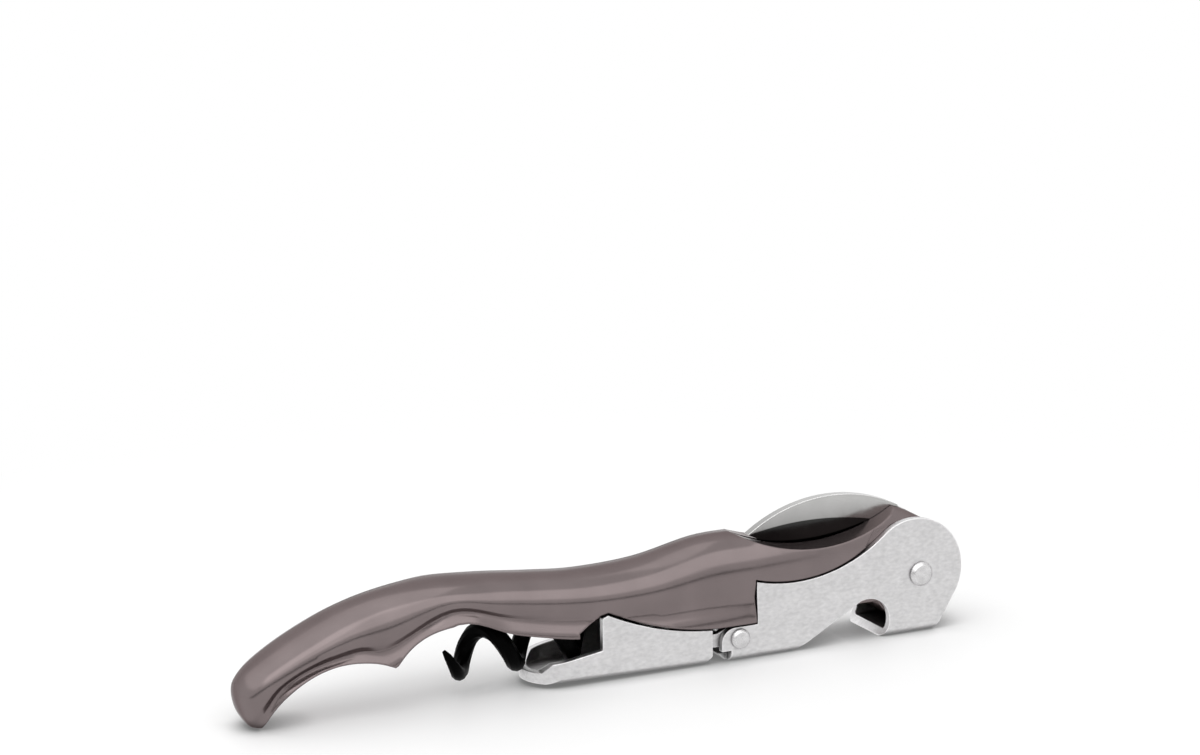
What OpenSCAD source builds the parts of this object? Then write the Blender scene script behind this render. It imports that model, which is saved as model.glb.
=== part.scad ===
// Double-lever corkscrew, folded flat. Lengths are in millimetres.
// X runs from the tip of the handle (minus) to the head (plus), Y is the width
// and Z is up, with the levers below the handle and the knife on its back.
// The folded tool lies on the web of its levers and on the tip of the handle.

/* [Handle] */
// Distance from the main rivet to the tip of the handle
handle_reach = 110.5; // [108:0.1:118]
// Width of the handle behind the levers
handle_w = 12.8; // [12.6:0.1:15]
// Radius of the handle's round head about the main rivet
head_r = 8.1; // [7.6:0.05:8.2]
// Height of the back at the end of the knife slot, above the main rivet
back_at_slot = 9.6; // [9.2:0.1:10.8]
// Height of the back at its waist
back_at_waist = 6.8; // [6.4:0.1:8]
// Height of the back at its swell, over the finger grooves
back_at_swell = 8.5; // [8.1:0.1:9.9]
// Height of the thumb hump over the head
hump_h = 11; // [10.6:0.1:12]
// Drop of the walls' lower edge below the main rivet
wall_drop = 3.8; // [3.2:0.05:3.85]
// Radius of the finger groove in the middle of the handle
groove_r = 12; // [11:0.1:13]
// Radius of the finger groove at the tip of the handle
tip_groove_r = 14.6; // [14:0.1:15.4]
// Height of the scooped rim beside the knife, above the main rivet
rim_low = 6.4; // [6.2:0.1:7.6]

/* [Lever sheet] */
// Width over both plates of the levers
lever_w = 11.8; // [11.4:0.1:12.4]
// Thickness of the folded sheet
sheet_t = 1.1; // [0.9:0.05:1.2]
// Outside radius of the folds
fold_r = 1.6; // [1.3:0.05:1.9]
// Distance from the main rivet down to the outside of the web
web_drop = 9.6; // [9.5:0.1:10.4]

/* [Upper lever] */
// Radius of the plates' round head
plate_head_r = 8.5; // [8.3:0.05:8.7]
// Distance along the handle from the main rivet to the first step
step_one = 29; // [28.6:0.1:29.2]
// Height of the first step's top corner above the main rivet
step_one_top = 2.4; // [2:0.1:2.8]
// Radius of the opener notch
notch_r = 3.8; // [3.4:0.1:4]
// Distance from the main rivet to the centre of the opener notch
notch_at = 9.5; // [9.2:0.1:9.8]
// Distance from the main rivet to the far end of the window in the web
window_end = 22.6; // [21:0.1:23.5]

/* [Lower lever] */
// Distance along the handle from the main rivet to the lever hinge
hinge_at = 32.1; // [32:0.05:32.4]
// Drop of the lever hinge below the main rivet
hinge_drop = 6; // [5.8:0.05:6.2]
// Distance from the lever hinge to the second step
step_two = 23; // [22:0.1:24]
// Distance from the lever hinge to the rounded end
lower_len = 34; // [33:0.1:35]
// Rise of the lower lever towards the tip, in degrees
lower_rise = 1.2; // [0.6:0.05:1.4]

/* [Rivets and pin] */
// Diameter of the main rivet's shank
main_d = 3; // [2.6:0.1:3.4]
// Diameter of the main rivet's made head
main_head_d = 4.6; // [4.2:0.1:5.2]
// Diameter of the lever rivet's shank
hinge_d = 2.2; // [1.8:0.1:2.4]
// Diameter of the lever rivet's made head
hinge_head_d = 3.4; // [3:0.1:3.5]
// Diameter of the worm pin
pin_d = 2.4; // [2:0.1:2.6]
// Height of a rivet's head
rivet_head_h = 0.8; // [0.5:0.05:1]

/* [Worm] */
// Outside diameter of the worm
worm_d = 8.6; // [8:0.1:8.7]
// Diameter of the worm's wire
wire_d = 2.7; // [2.3:0.1:2.9]
// Pitch of the worm
pitch = 9.15; // [8.6:0.05:9.6]
// Distance from the worm pin to the worm's point
worm_len = 61.4; // [58:0.1:63]
// Distance from the worm pin to where the wire leaves its axis
shank_len = 17.6; // [17:0.1:20]
// Width of the flattened shank
shank_w = 5; // [4.6:0.1:5.4]
// Distance along the handle from the main rivet to the worm pin
pin_at = 17.8; // [17.4:0.1:18.2]
// Drop of the worm pin below the main rivet
pin_drop = 1.8; // [1.6:0.05:2]
// Slope of the folded worm towards its point, in degrees
worm_slope = 1.6; // [1.2:0.1:1.7]

/* [Knife] */
// Thickness of the blade
blade_t = 1.5; // [1.2:0.1:1.8]
// Distance along the handle from the main rivet to the blade's point
blade_reach = 27.8; // [26:0.1:28.4]
// Height of the blade's spine above the main rivet
spine_h = 13.3; // [12.8:0.1:14.2]
// Radius of the tang about the main rivet
tang_r = 5; // [4.4:0.1:5.4]

/* [Fits] */
// Clearance all round a pin or a rivet in its hole
pin_fit = 0.05; // [0.03:0.01:0.1]
// Clearance on each side of a flat piece that turns between two others
side_fit = 0.08; // [0.05:0.01:0.15]
// Clearance between edges that nest when the tool is folded
nest_fit = 0.4; // [0.3:0.05:0.45]

/* [Hidden] */
$fn = 64;

brown = [0.49, 0.44, 0.44];
steel = [0.80, 0.80, 0.81];
black = [0.06, 0.06, 0.06];

inner_w = lever_w - 2 * sheet_t;          // between the plates
flat_w = inner_w - 2 * side_fit;          // handle between the plates
ear_w = inner_w - 2 * side_fit;           // over the lower lever's ears
slot_w = blade_t + 2 * side_fit;          // knife slot
channel_d = worm_d + 2 * nest_fit;        // round roof of the worm channel
shank_t = 0.85 * wire_d;                  // flattened shank
shank_slot_w = shank_t + 2 * side_fit;
helix_r = (worm_d - wire_d) / 2;          // centre line of the wire
web_in = web_drop - sheet_t;              // main rivet to the inside of the web
beyond = 3 * web_drop;                    // past every edge, for cuts that run out

// Places in the side view, X and Z from the main rivet
hinge = [-hinge_at, -hinge_drop];
pin = [-pin_at, -pin_drop];
plate_head = [-1, 0.6];

lug_end = hinge[0] - 3.1;                 // end of the upper lever
plates_end = hinge[0] - 4.7;              // start of the lower lever's plates
slot_end = -(blade_reach + 2.4);          // knife slot's closed end

// Centre of the arc from p to q whose middle lies s to the left of the chord
function arc_radius(p, q, s) = (pow(norm(q - p) / 2, 2) + s * s) / (2 * s);
function arc_centre(p, q, s) =
    let (m = (p + q) / 2, d = (q - p) / norm(q - p), r = arc_radius(p, q, s))
    m + (s - r) * [-d[1], d[0]];

// Point of a smooth curve through the rows of p, u running over the rows
function spline(p, u) =
    let (n = len(p) - 1, i = min(floor(u), n - 1), t = u - i,
         a = p[max(i - 1, 0)], b = p[i], c = p[i + 1], d = p[min(i + 2, n)])
    0.5 * (2 * b + (c - a) * t + (2 * a - 5 * b + 4 * c - d) * t * t
           + (3 * b - a - 3 * c + d) * t * t * t);

// Flat outline in X and Z, made w wide about the middle plane
module across(w) {
    rotate([90, 0, 0]) linear_extrude(w, center = true) children();
}

// Round bar across the tool at a place in the side view
module bar(at, d, w) {
    translate([at[0], 0, at[1]]) rotate([90, 0, 0]) cylinder(d = d, h = w, center = true);
}

// Section of a folded lever in Y and Z: a U, w wide over its plates
module fold_section(w, drop, r, top) {
    translate([-w / 2, -drop + r]) square([w, top + drop - r]);
    translate([-w / 2 + r, -drop]) square([w - 2 * r, r]);
    for (s = [-1, 1]) translate([s * (w / 2 - r), -drop + r]) circle(r);
}

// Solid lever blank from x0 down to x1, before it is trimmed to its outline
module lever_blank(x0, x1, w, drop, r, top) {
    translate([x1, 0, 0]) rotate([90, 0, 90]) linear_extrude(x0 - x1)
        fold_section(w, drop, r, top);
}

// Upper lever: top edge low point, then the arc that leaves the head smoothly
waist_low = [-22.2, 1.6];
waist_lift = waist_low[1] - plate_head[1];
waist_r = (pow(waist_low[0] - plate_head[0], 2) + pow(waist_lift, 2) - pow(plate_head_r, 2))
          / (2 * (plate_head_r - waist_lift));
waist_at = waist_low + [0, waist_r];
waist_way = (waist_at - plate_head) / norm(waist_at - plate_head);
head_touch = plate_head + (plate_head_r - 0.05) * waist_way;
head_end = plate_head[0] + plate_head_r + 1;
head_top = plate_head[1] + plate_head_r + 1;
lug_top = -wall_drop - nest_fit;          // top of the upper lever's hinge lugs
lug_r = 2.4;
web_front = [2.7, -web_drop];             // front corner of the upper lever
lip_w = 1.5;                              // first step's lips, in from the plates
notch = [-notch_at, 2.9 - web_drop];
tooth = [notch[0] + sqrt(pow(notch_r, 2) - pow(2.9, 2)), -web_drop];
window_far = [-window_end, -web_drop];

// Just inside the point where the line from p touches the circle about c, on side s
function touching(p, c, r, s) =
    let (d = p - c, a = atan2(d[1], d[0]) + s * acos(r / norm(d)))
    c + (r - 0.04) * [cos(a), sin(a)];

// Upper lever's outline, grown by g for the recess that it lies in
module upper_outline(g = 0) {
    difference() {
        union() {
            translate(plate_head) circle(plate_head_r + g);
            translate([lug_end + lug_r, lug_top - lug_r]) circle(lug_r + g);
            polygon([plate_head, head_touch, [-step_one - g, head_touch[1]],
                     [-step_one - g, lug_top + g], [lug_end + lug_r, lug_top + g],
                     [lug_end - g, lug_top - lug_r], [lug_end - g, 1.2 - web_drop],
                     [lug_end + 1.2, -web_drop], web_front,
                     touching(web_front, plate_head, plate_head_r, 1)]);
        }
        translate(waist_at) circle(waist_r + 0.02 - g);
    }
}

// Opener notch and the window behind it, through both plates
module window_outline() {
    low = [0, -2 * sheet_t];
    translate(notch) circle(notch_r);
    polygon([notch, touching(window_far, notch, notch_r, -1), window_far,
             window_far + low, tooth + low, tooth]);
}

module upper_lever() {
    color(steel) difference() {
        union() {
            intersection() {
                difference() {
                    lever_blank(head_end, lug_end - 1, lever_w, web_drop, fold_r, head_top);
                    lever_blank(head_end + 1, lug_end - 2, inner_w, web_in,
                                fold_r - sheet_t, head_top + 1);
                }
                across(lever_w + 1) upper_outline();
            }
            // Lips that rest the first step on a bottle's rim
            for (s = [-1, 1])
                translate([-step_one, s * (inner_w - lip_w + 0.2) / 2, lug_top + 0.3])
                    translate([0, -(lip_w + 0.2) / 2, 0])
                        cube([sheet_t, lip_w + 0.2, step_one_top - lug_top - 0.7]);
        }
        across(lever_w + 1) window_outline();
        // Hollow in the opener's biting edge
        translate([tooth[0] - 4.2, 0, -web_drop - 1]) cylinder(r = 5, h = sheet_t + 1.5);
        // Corners cut out beside the web's end tab
        for (s = [-1, 1]) translate([lug_end - 1, s * lever_w / 2 - 1.9, -web_drop - 1])
            cube([2.6, 3.8, fold_r + 1.2]);
        bar([0, 0], main_d + 2 * pin_fit, lever_w + 1);
        bar(hinge, hinge_d, lever_w + 1);
    }
}

// Lower lever, before it is tilted about its hinge
step_face = hinge[0] - step_two;          // second step
lower_end = hinge[0] - lower_len;
step_peak = [step_face + 0.9, 0.25];
plates_top = [plates_end, lug_top];
top_sag = 0.9;                            // hollow of the plates' top edge
ear_r = 2.3;

// Lower lever's plates, grown by g for the walls that nest over them
module lower_outline(g = 0) {
    difference() {
        polygon([plates_top + [g, g], plates_top + [0, 6], [step_peak[0], 6],
                 [step_peak[0], step_peak[1] + g], [step_face - g, step_peak[1] - 0.4 + g],
                 [step_face - g, -5.1], [step_face - 7.9, -6.5], [step_face - 9.3, -7.9],
                 [lower_end - 1, -7.9], [lower_end - 1, -web_drop - 1],
                 [plates_end - 1.2, -web_drop - 0.01], [plates_end + g, -web_drop + 1.2]]);
        translate(arc_centre(step_peak, plates_top, -top_sag))
            circle(arc_radius(step_peak, plates_top, top_sag) - g);
    }
}

// Plan of the lower lever: straight sides and a round end
module nose_plan(w) {
    nose = lower_end + lever_w / 2;
    translate([nose, 0]) circle(w / 2);
    translate([nose, -w / 2]) square([plates_end - nose + 1, w]);
}

module lower_lever() {
    ear_in = ear_w / 2 - sheet_t;
    color(steel) tilted() difference() {
        union() {
            intersection() {
                difference() {
                    intersection() {
                        lever_blank(plates_end, lower_end - 1, lever_w, web_drop, fold_r, 2);
                        translate([0, 0, -20]) linear_extrude(30) nose_plan(lever_w);
                    }
                    intersection() {
                        lever_blank(plates_end + 1, lower_end, inner_w, web_in,
                                    fold_r - sheet_t, 3);
                        translate([0, 0, -20]) linear_extrude(30) nose_plan(inner_w);
                    }
                }
                across(lever_w + 1) lower_outline();
            }
            // Ears that turn inside the upper lever, and their joggles
            for (s = [-1, 1]) {
                translate([0, s * (ear_in + sheet_t / 2), 0]) across(sheet_t) {
                    translate(hinge) circle(ear_r);
                    polygon([hinge + [0, ear_r], hinge + [-3.4, 0.8], hinge + [-9, 0.8],
                             hinge + [-9, -1.3], hinge + [-2.9, -1.3], hinge - [0, ear_r]]);
                }
                translate([hinge[0] - 9, s * (ear_in + sheet_t / 2 + 0.2), hinge[1] - 1.3])
                    translate([0, -sheet_t / 2, 0]) cube([3.9, sheet_t, 2.1]);
            }
        }
        bar(hinge, hinge_d + 2 * pin_fit, lever_w + 1);
    }
}

// Turns the lower lever about its hinge by its rise
module tilted() {
    translate([hinge[0], 0, hinge[1]]) rotate([0, lower_rise, 0])
        translate([-hinge[0], 0, -hinge[1]]) children();
}

// Handle: matching rows of its back and of its lower edge, and for each row the half
// width, the depth of the flute in its side and how far its lower edge is drawn in
half_w = handle_w / 2;
tip = -handle_reach;
back = [[3.5, 7.7], [-4, hump_h], [-15, 10.2], [-28, back_at_slot],
        [-36, back_at_slot - 0.3], [-46, back_at_waist + 0.5], [-56, back_at_waist],
        [-64, back_at_waist + 0.6], [-72, back_at_swell - 0.3], [-80, back_at_swell],
        [-88, back_at_swell - 0.8], [tip + 15.5, 5.8], [tip + 8.5, 2.6], [tip + 3.2, -0.5],
        [tip + 0.7, -2.6], [tip, -4.4], [tip + 0.3, -6.8], [tip + 1.1, -8.5]];
belly = [[1, -wall_drop], [-5, -wall_drop], [-16, -wall_drop], [-29, -wall_drop],
         [-38, 0.1 - wall_drop], [-47, -3.2], [-54.5, -2.5], [-60.5, -1.9],
         [-69, 0], [-78, 2.8], [-88.3, -2.4],
         [tip + 18, -1.7], [tip + 12, -2.3], [tip + 7.6, -4.4], [tip + 5, 1.6 - web_drop],
         [tip + 4, 0.35 - web_drop], [tip + 3.1, 0.05 - web_drop],
         [tip + 2.4, 0.1 - web_drop]];
girth = [[4.3, 0, 0], [5.1, 0, 0], [6, 0.2, 0], [half_w, 0.6, 0], [half_w, 0.9, 0],
         [half_w, 0.9, 0], [half_w, 0.9, 0], [half_w, 0.9, 0], [half_w, 0.9, 0],
         [half_w, 0.9, 0], [half_w, 1, 0], [half_w - 0.1, 1.2, 0],
         [half_w - 0.3, 1.4, 0.2], [half_w - 0.7, 1.4, 0.5], [half_w - 1.4, 1, 1],
         [half_w - 2.2, 0.5, 1.3], [half_w - 3.2, 0.2, 1.2], [half_w - 4.3, 0, 0.7]];
groove_top = [-78, 2.6];                  // highest point of the middle groove
tip_groove_top = [tip + 16.4, -0.85];
scoop_low = [-17.5, rim_low];             // lowest point of the scoop beside the knife
scoop_r = 30;
rows = len(back) - 1;
steps = 6;                                // sections between two rows
levels = [0, 0.05, 0.14, 0.22, 0.3, 0.38, 0.46, 0.54, 0.64, 0.74, 0.83, 0.91, 0.97, 1];

// Shape of a section at level v: the crown above, the flute and the toe below
function crown(v) = v < 0.5 ? 1 : pow(1 - pow((v - 0.5) / 0.5, 2.6), 1 / 2.6);
function flute(v) = abs(v - 0.28) < 0.24 ? pow(cos((v - 0.28) / 0.24 * 90), 2) : 0;
function toe(v) = pow(1 - min(v / 0.35, 1), 2);

// One section of the handle as a ring of points
function section(u) =
    let (t = spline(back, u), b = spline(belly, u), g = spline(girth, u),
         side = [for (v = levels) let (p = b + (t - b) * v)
                 [p[0], g[0] * crown(v) - g[1] * flute(v) - g[2] * toe(v), p[1]]],
         n = len(side))
    concat(side, [for (i = [n - 2:-1:0]) [side[i][0], -side[i][1], side[i][2]]]);

module handle_loft() {
    rings = [for (i = [0:rows * steps]) section(i / steps)];
    n = len(rings[0]);
    m = len(rings);
    points = [for (r = rings) each r];
    sides = [for (i = [0:m - 2], j = [0:n - 1]) let (k = (j + 1) % n)
             each [[i * n + j, i * n + k, (i + 1) * n + j],
                   [i * n + k, (i + 1) * n + k, (i + 1) * n + j]]];
    low = (m - 1) * n;
    ends = [for (j = [0:len(levels) - 2]) let (k = (n - 1 - j))
            each [[j, k, j + 1], [k, k - 1, j + 1],
                  [low + j, low + j + 1, low + k], [low + k, low + j + 1, low + k - 1]]];
    polyhedron(points, concat(sides, [for (e = ends) if (e[1] != e[2] && e[0] != e[2]) e]));
}

// Places a piece that is built along +X from the worm pin
module from_pin() {
    translate([pin[0], 0, pin[1]]) rotate([0, -worm_slope, 0]) rotate([0, 0, 180]) children();
}

// Slot for the knife: open above and in front, closed at the blade's point
module knife_slot_outline() {
    circle(tang_r + 0.5);
    polygon([[slot_end, 20], [slot_end, 5], [-9, 5], [-tang_r - 0.5, 0], [-2.2, -tang_r],
             [-2.2, -20], [12, -20], [12, 20]]);
}

// Slot for the worm's shank, wide enough below for its swing
module shank_slot_outline() {
    r = shank_w / 2 + 0.5;
    translate(pin) circle(r);
    polygon([pin + [r, 0], pin + [r + 3, -18], [-33, -20], [-33, pin[1] + r - 0.6],
             pin + [0, r]]);
}

module handle_body() {
    wall_in = inner_w / 2 - lip_w - 0.3;
    color(brown) difference() {
        union() {
            difference() {
                handle_loft();
                // Recesses that the upper lever's plates lie in
                for (s = [-1, 1]) translate([0, s * (flat_w / 2 + 5), 0]) across(10) {
                    upper_outline(nest_fit);
                    translate(plate_head + [-0.6, 0.5]) circle(plate_head_r + 1.5 * nest_fit);
                    translate([-step_one - nest_fit, -beyond]) square([step_one + beyond, beyond]);
                    translate([0, -beyond]) square([beyond, beyond + plate_head_r + 0.5]);
                }
            }
            bar([0, 0], 2 * head_r, flat_w);
            // Heel that stops against the window of the upper lever
            across(flat_w) polygon([[-6, 0], [-7.5, -1], [-11.6, -2.9], [-20.6, -8],
                                    [-21.6, -8], [-23.2, -3.4], [-23.2, 0]]);
        }
        across(slot_w) knife_slot_outline();
        across(shank_slot_w) shank_slot_outline();
        // Channel that the folded worm lies in
        from_pin() translate([14, 0, 0]) {
            rotate([0, 90, 0]) cylinder(d = channel_d, h = worm_len - 13);
            translate([0, -channel_d / 2, -20]) cube([worm_len - 13, channel_d, 20]);
        }
        // Pockets for the first step's lips
        for (s = [-1, 1]) translate([-step_one - nest_fit, s > 0 ? wall_in : -flat_w / 2 - 0.1, -12])
            cube([sheet_t + nest_fit + 0.9, flat_w / 2 + 0.1 - wall_in, 12 + step_one_top + nest_fit]);
        // Room for the lower lever and its second step
        tilted() across(handle_w + 1) {
            lower_outline(nest_fit);
            polygon([[step_face, step_peak[1] - 0.4 + nest_fit],
                     [step_face - 3.9, -1.9], [step_face - 3.9, -6], [step_face, -6]]);
        }
        // Room for the lower lever's ears
        for (s = [-1, 1]) translate([0, s * ear_w / 2, 0]) across(2 * sheet_t + 4 * side_fit)
            translate(hinge) circle(ear_r + nest_fit);
        // Finger grooves
        bar(groove_top - [0, groove_r], 2 * groove_r, handle_w + 1);
        bar(tip_groove_top - [0, tip_groove_r], 2 * tip_groove_r, handle_w + 1);
        // Scoop that bares the blade's spine
        bar(scoop_low + [0, scoop_r], 2 * scoop_r, handle_w + 1);
        bar([0, 0], main_d, handle_w + 1);
        bar(pin, pin_d, handle_w + 1);
    }
}

// Knife: outline between its spine and its curved edge, with its tang
point = [-blade_reach, 8.7];
spine_end = [-1.2, 10.4];
heel = [-6, 7];
spine_sag = spine_h - (point[1] + spine_end[1]) / 2;
edge_sag = 2.3;
spine_at = arc_centre(point, spine_end, spine_sag);
spine_r = arc_radius(point, spine_end, spine_sag);
edge_at = arc_centre(point, heel, -edge_sag);
edge_r = arc_radius(point, heel, edge_sag);

// Hollow of the ground bevel, below the flat of the blade
bevel_sag = 1.4;
bevel_end = [-4, 8.2];
bevel_at = arc_centre(point, bevel_end, bevel_sag);
bevel_r = arc_radius(point, bevel_end, bevel_sag);
bevel_deep = 4.4;

module knife_outline() {
    intersection() {
        translate(spine_at) circle(spine_r);
        translate(edge_at) circle(edge_r);
        polygon([point - [2, 6], point + [-2, 12], [spine_end[0], 20], spine_end, heel - [0, 3]]);
    }
}

module knife_blade() {
    color(steel) difference() {
        union() {
            across(blade_t) knife_outline();
            bar([0, 0], 2 * tang_r, blade_t);
            across(blade_t) polygon([heel + [-0.5, 1], heel + [0, 4], spine_end,
                                     [tang_r * 0.98, 0.5], [-tang_r * 0.98, -0.5]]);
        }
        // Ground bevels, down to a thin edge
        for (s = [-1, 1]) intersection() {
            translate([bevel_at[0], 0, bevel_at[1]]) rotate([s * 90, 0, 0])
                translate([0, 0, 0.12])
                    cylinder(r1 = bevel_r - bevel_deep, r2 = bevel_r, h = blade_t / 2 - 0.11);
            translate([point[0] - 2, -5, 4]) cube([heel[0] - point[0] + 0.9, 10, 8]);
        }
        // Nail nick below the spine
        translate([0, blade_t / 2, 0]) across(0.8) intersection() {
            difference() {
                translate(spine_at) circle(spine_r - 1.1);
                translate(spine_at) circle(spine_r - 1.7);
            }
            translate([-19, 5]) square([8, 12]);
        }
        bar([0, 0], main_d + 2 * pin_fit, blade_t + 1);
    }
}

// Rivet through the tool: a made head on +Y and a smaller peened one on -Y
module rivet(at, d, head_d, tail_d, w) {
    seat = w / 2 + 0.05;
    color(steel) translate([at[0], 0, at[1]]) rotate([90, 0, 0]) {
        cylinder(d = d, h = 2 * seat + 0.2, center = true);
        for (e = [[-1, head_d], [1, tail_d]]) mirror([0, 0, e[0] < 0 ? 1 : 0])
            translate([0, 0, seat]) {
                cylinder(d = e[1], h = 0.45 * rivet_head_h);
                translate([0, 0, 0.45 * rivet_head_h])
                    cylinder(d1 = e[1], d2 = 0.76 * e[1], h = 0.55 * rivet_head_h);
            }
    }
}

module main_rivet() {
    rivet([0, 0], main_d, main_head_d, 0.85 * main_head_d, lever_w);
}

module lever_rivet() {
    rivet(hinge, hinge_d, hinge_head_d, 0.92 * hinge_head_d, lever_w);
}

module worm_pin() {
    color(black) bar(pin, pin_d, flat_w - 0.1);
}

// Worm: a right-handed helix that leaves the shank and ends in a point
point_len = 3.6;                          // ground length of the point
spread_len = 5.2;                         // from the axis to the full radius
neck = 11.2;                              // where the flattened shank ends
last_low = worm_len - 3.1;                // last place where the wire is lowest
turn_steps = 20;
wire_sides = 10;

function eased(t) = let (k = max(0, min(1, t))) k * k * (3 - 2 * k);
function coil(s) =
    let (a = 360 * (s - last_low) / pitch, r = helix_r * eased((s - shank_len) / spread_len))
    [s, r * sin(a), -r * cos(a)];
function wire_r(s) = wire_d / 2 * (0.2 + 0.8 * pow(max(0, min(1, (worm_len - s) / point_len)), 0.6));
function unit(v) = v / norm(v);
function wire_ring(s) =
    let (c = coil(s), t = unit(coil(s + 0.05) - coil(s - 0.05)),
         a = 360 * (s - last_low) / pitch, out = [0, sin(a), -cos(a)],
         n = unit(out - (out * t) * t), b = cross(t, n))
    [for (j = [0:wire_sides - 1]) let (f = 360 * j / wire_sides)
     c + wire_r(s) * (n * cos(f) + b * sin(f))];

module worm_helix() {
    turns_start = shank_len + 0.5;
    m = ceil((worm_len - turns_start) / pitch * turn_steps);
    n = wire_sides;
    rings = [wire_ring(neck), wire_ring((neck + turns_start) / 2),
             for (i = [0:m]) wire_ring(turns_start + (worm_len - turns_start) * i / m)];
    last = len(rings) - 1;
    sides = [for (i = [0:last - 1], j = [0:n - 1]) let (k = (j + 1) % n)
             each [[i * n + j, (i + 1) * n + j, i * n + k],
                   [i * n + k, (i + 1) * n + j, (i + 1) * n + k]]];
    ends = [[for (j = [0:n - 1]) j], [for (j = [n - 1:-1:0]) last * n + j]];
    polyhedron([for (r = rings) each r], concat(sides, ends));
}

module worm() {
    color(black) from_pin() {
        difference() {
            across(shank_t) {
                circle(d = shank_w);
                polygon([[0, shank_w / 2], [neck - 0.4, shank_w / 2],
                         [neck + 1.8, 0.45 * wire_d], [neck + 1.8, -0.45 * wire_d],
                         [neck + 0.6, -shank_w / 2], [0, -shank_w / 2]]);
            }
            bar([0, 0], pin_d + 2 * pin_fit, shank_t + 1);
        }
        worm_helix();
    }
}

// The origin is on the floor, under the middle of the folded tool
module placed() {
    translate([(handle_reach - head_r) / 2, 0, web_drop]) children();
}

placed() handle_body();
placed() knife_blade();
placed() upper_lever();
placed() lower_lever();
placed() main_rivet();
placed() lever_rivet();
placed() worm_pin();
placed() worm();
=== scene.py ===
import math

import bpy
from mathutils import Euler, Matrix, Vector

# A folded double-lever corkscrew on a white studio floor. Lengths are in metres.

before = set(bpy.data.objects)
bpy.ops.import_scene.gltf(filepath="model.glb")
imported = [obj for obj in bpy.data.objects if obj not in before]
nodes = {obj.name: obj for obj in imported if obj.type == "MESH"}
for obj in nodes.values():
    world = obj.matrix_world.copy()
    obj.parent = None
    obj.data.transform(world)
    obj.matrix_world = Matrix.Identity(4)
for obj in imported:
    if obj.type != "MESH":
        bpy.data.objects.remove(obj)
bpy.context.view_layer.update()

# Camera: where the photograph was taken from
CAMERA_AT = (-0.1369, -0.3256, 0.1112)
CAMERA_TURN = (79.47, 1.78, -23.06)
CAMERA_LENS = 71.66
SENSOR_WIDTH = 36

# Colours, linear
TAUPE = (0.196, 0.162, 0.162, 1)
STEEL = (0.67, 0.662, 0.666, 1)
BLADE = (0.44, 0.437, 0.43, 1)
BLACK = (0.0008, 0.0008, 0.0008, 1)
CARD_BLACK = (0.004, 0.004, 0.004, 1)
FLOOR = (0.97, 0.97, 0.97, 1)
WHITE = (1, 1, 1, 1)

# Edges that turn more than this stay sharp
EDGE_ANGLE = math.radians(28)
WELD = 0.000002

# Circle that bounds the blade's ground bevel, in the side view, which is darkened as a painted
# reflection; and the width of the painted shading on the flat beside it
BEVEL_CENTRE = (0.03425, 0, -0.03184)
BEVEL_RADIUS = 0.0513
BEVEL_BORDER = 0.0001
BLADE_FLAT_SHADE_WIDTH = 0.003

# Floor: how far from the middle it starts and ends to turn white, and what share of plain
# white is in it under the tool and where shiny metal mirrors it as a painted reflection
FLOOR_RADIUS = 6
FADE_START = 0.07
FADE_END = 0.2
WHITE_NEAR = 0.15
WHITE_MIRRORED = 0.88

# World: strength of its light on dull surfaces, and as it is seen or mirrored
SKY_LIGHT = 0.7
SKY_SEEN = 1.0

# Lamps and the dark card
MIDDLE = (0, 0, 0)
KEY_AT = (-0.10, -0.60, 0.80)
KEY_SIZE = (1.8, 1.05)
KEY_POWER = 4.2
TOP_AT = (-0.35, 0.15, 0.75)
TOP_SIZE = (1.8, 1.2)
TOP_POWER = 3.2
CARD_AT = (-0.35, -0.95, 0.04)
CARD_SIZE = (2.4, 0.16, 1)
CARD_TURN = (90, 0, -20)


def in_radians(degrees):
    return [math.radians(v) for v in degrees]


def shade(colour, factor):
    return (colour[0] * factor, colour[1] * factor, colour[2] * factor, 1)


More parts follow.
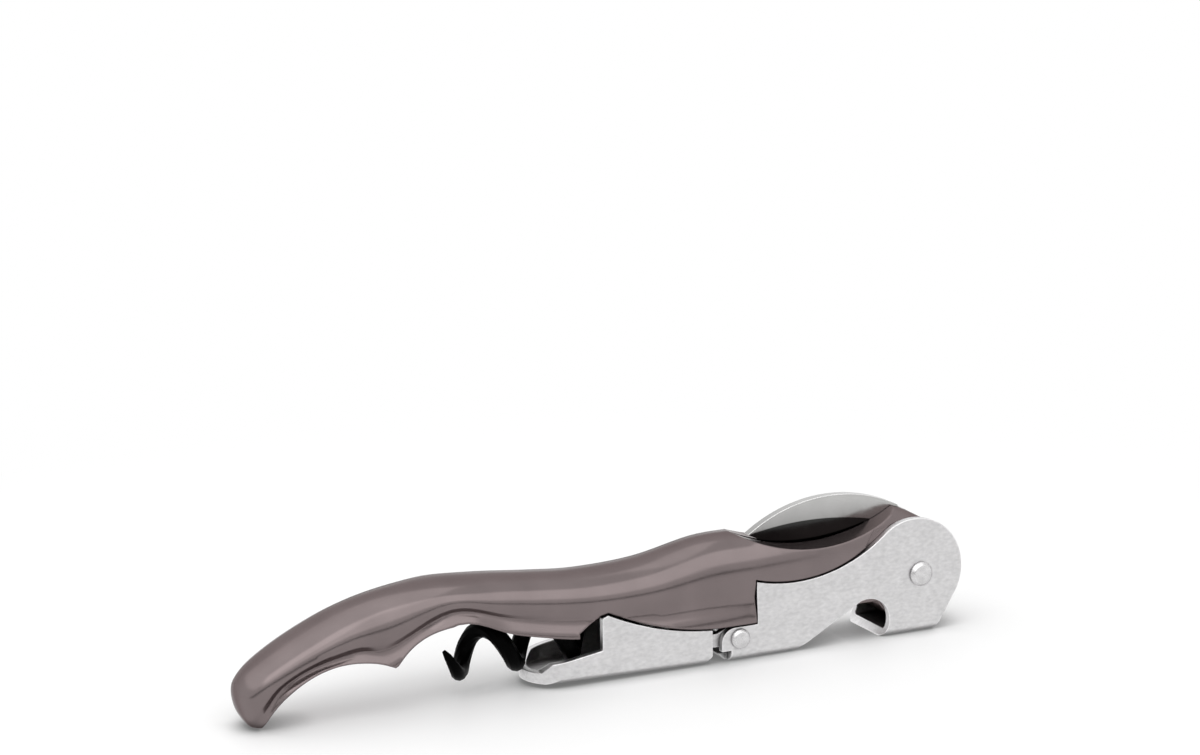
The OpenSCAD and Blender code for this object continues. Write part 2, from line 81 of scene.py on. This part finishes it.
class Surface:
    """A material that is built node by node."""

    def __init__(self, name):
        self.material = bpy.data.materials.new(name)
        self.material.use_nodes = True
        self.tree = self.material.node_tree
        self.shader = self.tree.nodes["Principled BSDF"]
        self.place = self.add("ShaderNodeTexCoord").outputs["Object"]

    def add(self, kind, **values):
        node = self.tree.nodes.new(kind)
        for key, value in values.items():
            if hasattr(node, key):
                setattr(node, key, value)
            else:
                node.inputs[key.replace("_", " ")].default_value = value
        return node

    def link(self, a, b):
        self.tree.links.new(a, b)

    def set(self, **values):
        for key, value in values.items():
            self.shader.inputs[key.replace("_", " ")].default_value = value

    def noise(self, size, detail=3.0, stretch=(1, 1, 1)):
        """Noise with features about size metres wide, drawn out along an axis by stretch."""
        mapping = self.add("ShaderNodeMapping")
        mapping.inputs["Scale"].default_value = [1 / s for s in stretch]
        self.link(self.place, mapping.inputs["Vector"])
        noise = self.add("ShaderNodeTexNoise", Scale=1 / size, Detail=detail)
        self.link(mapping.outputs["Vector"], noise.inputs["Vector"])
        return noise.outputs["Fac"]

    def spread(self, value, low, high, start=0.3, end=0.7):
        """Maps a value from start to end on to low to high; noise lies in the default span."""
        span = self.add("ShaderNodeMapRange", From_Min=start, From_Max=end,
                        To_Min=low, To_Max=high)
        self.link(value, span.inputs["Value"])
        return span.outputs["Result"]

    def vector(self, operation, value, second=None):
        """Vector maths on a value, with a fixed second operand if there is one."""
        node = self.add("ShaderNodeVectorMath", operation=operation)
        self.link(value, node.inputs[0])
        if second is not None:
            node.inputs[1].default_value = second
        return node.outputs["Value" if operation == "LENGTH" else "Vector"]

    def maths(self, operation, value, second):
        """Maths on a value and either another value or a number."""
        node = self.add("ShaderNodeMath", operation=operation)
        self.link(value, node.inputs[0])
        if isinstance(second, float):
            node.inputs[1].default_value = second
        else:
            self.link(second, node.inputs[1])
        return node.outputs[0]

    def roughness(self, value, low, high):
        self.link(self.spread(value, low, high), self.shader.inputs["Roughness"])

    def relief(self, layers, edge):
        """Bumps of given heights, over edges that are rounded to a radius."""
        bevel = self.add("ShaderNodeBevel", samples=6, Radius=edge)
        normal = bevel.outputs["Normal"]
        for value, height in layers:
            bump = self.add("ShaderNodeBump", Distance=height)
            bump.inputs["Strength"].default_value = 1.0
            self.link(value, bump.inputs["Height"])
            self.link(normal, bump.inputs["Normal"])
            normal = bump.outputs["Normal"]
        self.link(normal, self.shader.inputs["Normal"])

    def tint(self, value, first, second):
        """Mixes two colours by a value."""
        mix = self.add("ShaderNodeMix", data_type="RGBA")
        self.link(value, mix.inputs[0])
        mix.inputs[6].default_value = first
        mix.inputs[7].default_value = second
        self.colour = mix.outputs[2]
        self.link(self.colour, self.shader.inputs["Base Color"])

    def mottle(self, value, colour, low, high):
        """A colour that noise varies between two of its shades."""
        self.tint(self.spread(value, 0, 1), shade(colour, low), shade(colour, high))

    def scale_colour(self, factor):
        mix = self.add("ShaderNodeVectorMath", operation="SCALE")
        self.link(self.colour, mix.inputs[0])
        self.link(factor, mix.inputs["Scale"])
        self.colour = mix.outputs[0]
        self.link(self.colour, self.shader.inputs["Base Color"])

    def paint_hollow_shade(self, reach, start, end, rest):
        """Painted shade: darkens the places that are shut in on all sides, down to rest of
        their colour.
        """
        shut = self.add("ShaderNodeAmbientOcclusion", samples=8, Distance=reach)
        self.scale_colour(self.spread(shut.outputs["AO"], rest, 1, start, end))

    def paint_edge_highlight(self, radius, gain):
        """Painted highlight: brightens the edges of the metal."""
        bevel = self.add("ShaderNodeBevel", samples=6, Radius=radius)
        own = self.add("ShaderNodeNewGeometry")
        same = self.add("ShaderNodeVectorMath", operation="DOT_PRODUCT")
        self.link(bevel.outputs["Normal"], same.inputs[0])
        self.link(own.outputs["Normal"], same.inputs[1])
        self.scale_colour(self.spread(same.outputs["Value"], gain, 1, start=0.8, end=0.985))


def lacquer():
    """Glossy taupe coat with a faint orange peel over metal flake."""
    s = Surface("handle_lacquer_finish")
    s.set(Metallic=0.85, Specular_Tint=(0.42, 0.38, 0.38, 1), Specular_IOR_Level=0.3)
    s.set(Coat_Weight=0.08, Coat_Roughness=0.03)
    s.mottle(s.noise(size=0.006), TAUPE, low=0.94, high=1.06)
    # Painted shade in the handle's creases and hollows
    s.paint_hollow_shade(reach=0.006, start=0.1, end=0.5, rest=0.15)
    s.roughness(s.noise(size=0.004), low=0.16, high=0.21)
    s.relief([(s.noise(size=0.0016), 0.000004), (s.noise(size=0.0003), 0.000001)],
             edge=0.0004)
    return s.material


def satin_steel():
    """Tumbled stainless sheet with a fine grain and a faint draw along the lever."""
    s = Surface("lever_steel_finish")
    s.set(Metallic=1.0)
    s.mottle(s.noise(size=0.0005, detail=4, stretch=(1.8, 1, 1)), STEEL, low=0.89, high=1.07)
    s.scale_colour(s.spread(s.noise(size=0.003, detail=3), low=0.96, high=1.04))
    # Painted highlight along the lever edges
    s.paint_edge_highlight(radius=0.0004, gain=1.5)
    # Painted shade in the folds and between the lever plates
    s.paint_hollow_shade(reach=0.008, start=0.05, end=0.38, rest=0.04)
    s.roughness(s.noise(size=0.0009, detail=5), low=0.34, high=0.44)
    s.relief([(s.noise(size=0.00035, detail=4), 0.00001),
              (s.noise(size=0.0005, detail=2, stretch=(8, 1, 1)), 0.000002)], edge=0.00028)
    return s.material


def blade_steel():
    """Polished blade, ground across its length, with a painted dark reflection on its bevel
    and painted shading on its flat.
    """
    s = Surface("blade_steel_finish")
    s.set(Metallic=1.0)
    s.mottle(s.noise(size=0.004), BLADE, low=0.94, high=1.04)
    # Painted highlight along the blade's edges, strongest on the spine
    s.paint_edge_highlight(radius=0.0002, gain=2.6)
    # Painted reflection: inside the circle the bevel is darkened to 0.12 of its colour
    away = s.vector("SUBTRACT", s.place, BEVEL_CENTRE)
    far = s.vector("LENGTH", s.vector("MULTIPLY", away, (1, 0, 1)))
    s.scale_colour(s.spread(far, low=0.12, high=1,
                            start=BEVEL_RADIUS - BEVEL_BORDER, end=BEVEL_RADIUS))
    # Painted shading: the flat is darker next to the bevel and lighter further out
    s.scale_colour(s.spread(far, low=0.8, high=1.12,
                            start=BEVEL_RADIUS, end=BEVEL_RADIUS + BLADE_FLAT_SHADE_WIDTH))
    s.roughness(s.noise(size=0.0015, detail=4), low=0.16, high=0.26)
    s.relief([(s.noise(size=0.00025, detail=2, stretch=(1, 1, 14)), 0.000006)], edge=0.00015)
    return s.material


def rivet_steel():
    """Turned rivet head with small dents."""
    s = Surface("rivet_steel_finish")
    s.set(Metallic=1.0)
    s.mottle(s.noise(size=0.001, detail=4), STEEL, low=0.82, high=1.06)
    # Painted highlight along the rivet edges
    s.paint_edge_highlight(radius=0.0003, gain=1.3)
    # Painted shade around the rivet heads
    s.paint_hollow_shade(reach=0.003, start=0.1, end=0.6, rest=0.1)
    s.roughness(s.noise(size=0.0006, detail=4), low=0.2, high=0.34)
    s.relief([(s.noise(size=0.0005, detail=4), 0.00004)], edge=0.0003)
    return s.material


def black_coat():
    """Black non-stick coat, a little worn into a sheen."""
    s = Surface("worm_black_finish")
    s.set(Specular_IOR_Level=0.02)
    s.mottle(s.noise(size=0.003, detail=4), BLACK, low=1, high=1.8)
    s.roughness(s.noise(size=0.0012, detail=4), low=0.32, high=0.5)
    s.relief([(s.noise(size=0.0003, detail=4), 0.00001)], edge=0.0002)
    return s.material


def geometry_group(name):
    """An empty geometry node group with its input and output nodes."""
    tree = bpy.data.node_groups.new(name, "GeometryNodeTree")
    for way in ("INPUT", "OUTPUT"):
        tree.interface.new_socket("Geometry", in_out=way, socket_type="NodeSocketGeometry")
    begin = tree.nodes.new("NodeGroupInput").outputs[0]
    end = tree.nodes.new("NodeGroupOutput").inputs[0]
    return tree, begin, end


def smooth_shading():
    """Geometry nodes that weld a solid and shade it smooth between its sharp edges."""
    tree, begin, end = geometry_group("smooth_between_edges")
    add, link = tree.nodes.new, tree.links.new
    weld = add("GeometryNodeMergeByDistance")
    weld.inputs["Distance"].default_value = WELD
    soft = add("GeometryNodeSetShadeSmooth")
    soft.domain = "FACE"
    sharp = add("GeometryNodeSetShadeSmooth")
    sharp.domain = "EDGE"
    sharp.inputs["Shade Smooth"].default_value = False
    angle = add("GeometryNodeInputMeshEdgeAngle")
    above = add("FunctionNodeCompare")
    above.operation = "GREATER_THAN"
    above.inputs["B"].default_value = EDGE_ANGLE
    link(begin, weld.inputs["Geometry"])
    link(weld.outputs["Geometry"], soft.inputs["Geometry"])
    link(soft.outputs["Geometry"], sharp.inputs["Geometry"])
    link(angle.outputs["Unsigned Angle"], above.inputs["A"])
    link(above.outputs["Result"], sharp.inputs["Selection"])
    link(sharp.outputs["Geometry"], end)
    return tree


def follow_lowest_point(floor):
    """Geometry nodes that keep the floor under the tool's lowest point as its levers open."""
    tree, begin, end = geometry_group("floor_under_tool")
    add, link = tree.nodes.new, tree.links.new
    tool = add("GeometryNodeJoinGeometry")
    for solid in nodes.values():
        piece = add("GeometryNodeObjectInfo")
        piece.transform_space = "RELATIVE"
        piece.inputs["Object"].default_value = solid
        link(piece.outputs["Geometry"], tool.inputs["Geometry"])
    box = add("GeometryNodeBoundBox")
    link(tool.outputs["Geometry"], box.inputs["Geometry"])
    low = add("ShaderNodeSeparateXYZ")
    link(box.outputs["Min"], low.inputs["Vector"])
    drop = add("ShaderNodeMath")
    drop.operation = "MINIMUM"
    drop.inputs[1].default_value = 0
    link(low.outputs["Z"], drop.inputs[0])
    way = add("ShaderNodeCombineXYZ")
    link(drop.outputs["Value"], way.inputs["Z"])
    move = add("GeometryNodeTransform")
    link(begin, move.inputs["Geometry"])
    link(way.outputs["Vector"], move.inputs["Translation"])
    link(move.outputs["Geometry"], end)
    floor.modifiers.new("under_tool", "NODES").node_group = tree


def dress(names, material, shading):
    """Gives CAD nodes a material and smooth shading."""
    for name in names:
        solid = nodes[name]
        solid.data.materials.clear()
        solid.data.materials.append(material)
        solid.modifiers.new("smooth", "NODES").node_group = shading


def softbox(name, at, size, power):
    """Rectangular area lamp that looks at the middle of the tool."""
    lamp = bpy.data.lights.new(name, "AREA")
    lamp.shape = "RECTANGLE"
    lamp.size, lamp.size_y = size
    lamp.energy = power
    holder = bpy.data.objects.new(name, lamp)
    bpy.context.scene.collection.objects.link(holder)
    holder.location = at
    way = Vector(MIDDLE) - Vector(at)
    holder.rotation_euler = way.to_track_quat("-Z", "Y").to_euler()
    return holder


def flag():
    """Dark card behind the camera, which draws a thin dark line along shiny forms."""
    bpy.ops.mesh.primitive_plane_add(size=1, location=CARD_AT)
    card = bpy.context.object
    card.name = "flag"
    card.scale = CARD_SIZE
    card.rotation_euler = in_radians(CARD_TURN)
    s = Surface("flag_black")
    s.set(Base_Color=CARD_BLACK, Roughness=0.9)
    card.data.materials.append(s.material)
    card.visible_camera = False
    return card


def seen_or_mirrored(tree, path):
    """1 for the rays that see the background: camera, glossy and transmission rays."""
    rays = path.outputs["Is Camera Ray"]
    for ray in ("Is Glossy Ray", "Is Transmission Ray"):
        either = tree.nodes.new("ShaderNodeMath")
        either.operation = "MAXIMUM"
        tree.links.new(rays, either.inputs[0])
        tree.links.new(path.outputs[ray], either.inputs[1])
        rays = either.outputs[0]
    return rays


def studio_floor():
    """White floor with soft contact shadows, partly cast and partly painted, which fades into
    a white background.
    """
    bpy.ops.mesh.primitive_circle_add(vertices=96, radius=FLOOR_RADIUS, fill_type="NGON")
    floor = bpy.context.object
    floor.name = "floor"
    s = Surface("floor_white")
    s.set(Roughness=0.55)
    s.mottle(s.noise(size=0.05), FLOOR, low=0.99, high=1)
    # Painted shadow on the floor close to the tool
    s.paint_hollow_shade(reach=0.008, start=0.2, end=0.75, rest=0.12)
    floor.data.materials.append(s.material)
    # Away from the tool the camera sees the floor as plain white
    far = s.vector("LENGTH", s.place)
    fade = s.spread(far, WHITE_NEAR, 1, start=FADE_START, end=FADE_END)
    path = s.add("ShaderNodeLightPath")
    seen = s.maths("MULTIPLY", fade, seen_or_mirrored(s.tree, path))
    # Shiny metal mirrors a floor that glows white, a painted reflection without the shadows
    # under the tool
    mirrored = s.maths("MULTIPLY", path.outputs["Is Glossy Ray"], WHITE_MIRRORED)
    white = s.maths("MAXIMUM", seen, mirrored)
    glow = s.add("ShaderNodeEmission")
    mix = s.add("ShaderNodeMixShader")
    s.link(white, mix.inputs[0])
    s.link(s.shader.outputs[0], mix.inputs[1])
    s.link(glow.outputs[0], mix.inputs[2])
    s.link(mix.outputs[0], s.tree.nodes["Material Output"].inputs["Surface"])
    follow_lowest_point(floor)


def studio_world():
    """White surroundings, plain white where they are seen or mirrored."""
    world = bpy.data.worlds.new("studio")
    bpy.context.scene.world = world
    world.use_nodes = True
    tree = world.node_tree
    back = tree.nodes["Background"]
    back.inputs["Color"].default_value = WHITE
    rays = seen_or_mirrored(tree, tree.nodes.new("ShaderNodeLightPath"))
    strength = tree.nodes.new("ShaderNodeMapRange")
    strength.inputs["To Min"].default_value = SKY_LIGHT
    strength.inputs["To Max"].default_value = SKY_SEEN
    tree.links.new(rays, strength.inputs["Value"])
    tree.links.new(strength.outputs["Result"], back.inputs["Strength"])


def camera():
    lens = bpy.data.cameras.new("camera")
    lens.lens = CAMERA_LENS
    lens.sensor_width = SENSOR_WIDTH
    lens.clip_start = 0.01
    holder = bpy.data.objects.new("camera", lens)
    holder.location = CAMERA_AT
    holder.rotation_euler = Euler(in_radians(CAMERA_TURN))
    bpy.context.scene.collection.objects.link(holder)
    bpy.context.scene.camera = holder


bpy.context.scene.view_settings.view_transform = "Standard"
camera()
studio_floor()
studio_world()
softbox("key", KEY_AT, KEY_SIZE, KEY_POWER)
softbox("top", TOP_AT, TOP_SIZE, TOP_POWER)
flag()

shading = smooth_shading()
dress(["handle_body"], lacquer(), shading)
dress(["upper_lever", "lower_lever"], satin_steel(), shading)
dress(["knife_blade"], blade_steel(), shading)
dress(["main_rivet", "lever_rivet"], rivet_steel(), shading)
dress(["worm", "worm_pin"], black_coat(), shading)
